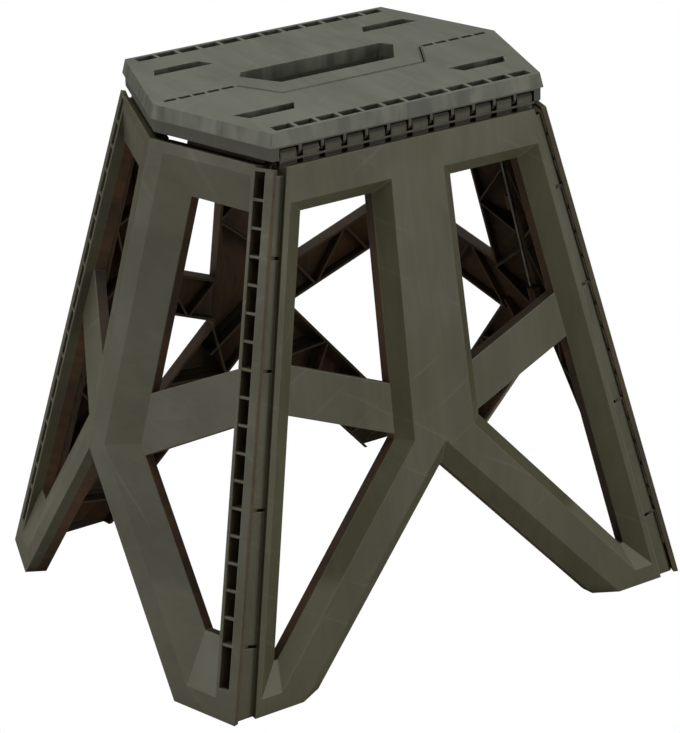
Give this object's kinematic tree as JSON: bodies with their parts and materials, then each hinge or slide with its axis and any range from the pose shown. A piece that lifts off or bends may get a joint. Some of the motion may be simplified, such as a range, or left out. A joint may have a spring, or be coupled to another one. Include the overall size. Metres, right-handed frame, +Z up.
{
  "type": "folding step stool",
  "caption": "Folding step stool: a split hexagonal seat with a hand hole on ribbed side frames, and split end frames hinged along ladder-like corners, so that it closes flat.",
  "frame": {"origin": "on the floor under the middle of the open stool", "axes": "+X along the seat to the right, +Y to the back half with the handle, +Z up"},
  "size_m": [0.4878, 0.3854, 0.45],
  "materials": {
    "seat": "fine matte",
    "side_frame": "fine matte",
    "end_frame": "fine matte",
    "pin": "bright drawn"
  },
  "bodies": {
    "side_front": {"side_frame_front": "side_frame", "corner_pin_left_front": "pin", "corner_pin_right_front": "pin", "seat_edge_pin_front": "pin"},
    "seat_front": {"seat_half_front": "seat", "seat_middle_pin_left": "pin", "seat_middle_pin_right": "pin"},
    "seat_back": {"seat_half_back": "seat"},
    "side_back": {"side_frame_back": "side_frame", "corner_pin_left_back": "pin", "corner_pin_right_back": "pin", "seat_edge_pin_back": "pin"},
    "end_left_front": {"end_frame_left_front": "end_frame", "seam_pin_left": "pin"},
    "end_right_front": {"end_frame_right_front": "end_frame", "seam_pin_right": "pin"},
    "end_left_back": {"end_frame_left_back": "end_frame"},
    "end_right_back": {"end_frame_right_back": "end_frame"}
  },
  "joints": [
    {"name": "seat_front_fold", "type": "hinge", "parent": "side_front", "child": "seat_front", "pos_m": [0, -0.11177, 0.4315], "axis": [1, 0, 0], "range_deg": [0, 76]},
    {"name": "seat_middle_fold", "type": "hinge", "parent": "seat_front", "child": "seat_back", "pos_m": [0, 0, 0.427], "axis": [1, 0, 0], "range_deg": [-168.6, 0]},
    {"name": "seat_back_fold", "type": "hinge", "parent": "seat_back", "child": "side_back", "pos_m": [0, 0.11177, 0.4315], "axis": [1, 0, 0], "range_deg": [0, 76.1]},
    {"name": "corner_left_front", "type": "hinge", "parent": "side_front", "child": "end_left_front", "pos_m": [-0.21833, -0.18501, -0.00253], "axis": [0.2165, 0.1625, 0.9627], "range_deg": [0, 67.9]},
    {"name": "corner_right_front", "type": "hinge", "parent": "side_front", "child": "end_right_front", "pos_m": [0.21833, -0.18501, -0.00253], "axis": [-0.2165, 0.1625, 0.9627], "range_deg": [-67.9, 0]},
    {"name": "corner_left_back", "type": "hinge", "parent": "side_back", "child": "end_left_back", "pos_m": [-0.21833, 0.18501, -0.00253], "axis": [0.2165, -0.1625, 0.9627], "range_deg": [-67.9, 0]},
    {"name": "corner_right_back", "type": "hinge", "parent": "side_back", "child": "end_right_back", "pos_m": [0.21833, 0.18501, -0.00253], "axis": [-0.2165, -0.1625, 0.9627], "range_deg": [0, 67.9]}
  ],
  "couplings": [
    {"joint": "seat_middle_fold", "follows": "seat_front_fold", "ratio": -2.2177},
    {"joint": "seat_back_fold", "follows": "seat_front_fold", "ratio": 1},
    {"joint": "corner_left_front", "follows": "seat_front_fold", "ratio": 0.89201},
    {"joint": "corner_right_front", "follows": "seat_front_fold", "ratio": -0.89201},
    {"joint": "corner_left_back", "follows": "seat_front_fold", "ratio": -0.89201},
    {"joint": "corner_right_back", "follows": "seat_front_fold", "ratio": 0.89201}
  ]
}
